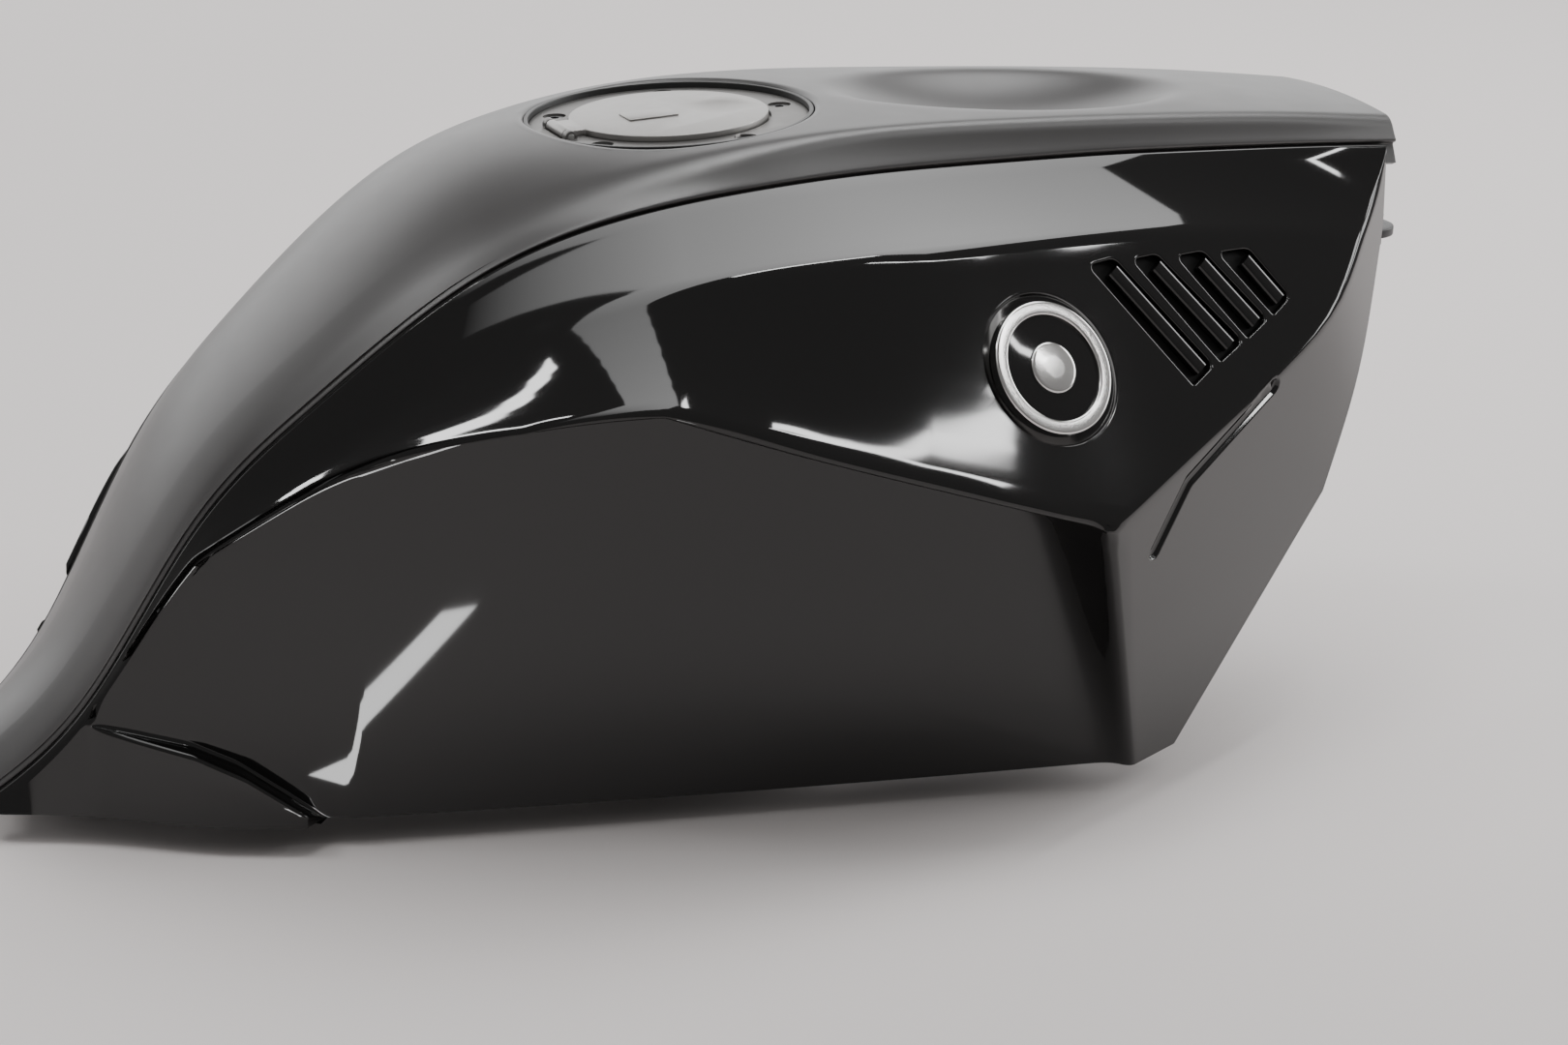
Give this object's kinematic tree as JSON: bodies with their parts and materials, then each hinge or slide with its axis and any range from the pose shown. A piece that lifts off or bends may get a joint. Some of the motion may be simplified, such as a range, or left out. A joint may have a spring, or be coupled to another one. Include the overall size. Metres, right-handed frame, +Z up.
{
  "type": "motorcycle fuel tank",
  "caption": "Sport motorcycle fuel tank with a satin top cover, gloss side covers with knee recesses and louvres, and a hinged locking filler cap.",
  "frame": {"origin": "middle of the rear bracket's underside, between its two bolt holes, on the plane of symmetry", "axes": "+X to the front of the motorcycle, +Y to the rider's left, +Z up"},
  "size_m": [0.647, 0.3602, 0.2858],
  "materials": {
    "gloss_black": "clear-coated gloss paint on plastic",
    "satin_black": "satin paint",
    "steel_black": "semi-gloss paint on pressed steel",
    "black_plastic": "fine-grained moulding",
    "cap_aluminium": "satin anodised",
    "bright_steel": "zinc plated",
    "chrome": "polished",
    "rubber": "matt"
  },
  "bodies": {
    "tank": {"tank": "steel_black", "filler_neck": "steel_black", "top_cover": "satin_black", "side_cover_right": "gloss_black", "side_cover_left": "gloss_black", "vent_insert_right": "black_plastic", "vent_insert_left": "black_plastic", "badge_right": "chrome", "badge_left": "chrome", "cap_surround": "black_plastic", "cap_flange": "cap_aluminium", "cap_gasket": "rubber", "hinge_pin": "bright_steel", "rear_bracket": "steel_black", "front_bracket_right": "steel_black", "front_bracket_left": "steel_black", "front_bush_right": "rubber", "front_bush_left": "rubber", "front_sleeve_right": "bright_steel", "front_sleeve_left": "bright_steel", "pump_gasket": "rubber", "pump_flange": "black_plastic", "fuel_outlet": "bright_steel", "pump_connector": "black_plastic", "breather_nipple": "bright_steel", "drain_nipple": "bright_steel", "top_pad_front": "rubber", "top_pad_rear": "rubber", "side_pad_right": "rubber", "side_pad_left": "rubber"},
    "lid": {"cap_lid": "cap_aluminium", "lid_seal": "rubber", "lock_body": "bright_steel", "lock_cover": "cap_aluminium"}
  },
  "joints": [
    {"name": "lid_hinge", "type": "hinge", "parent": "tank", "child": "lid", "pos_m": [0.21337, 0, 0.26138], "axis": [0, -1, 0], "range_deg": [0, 95]}
  ]
}
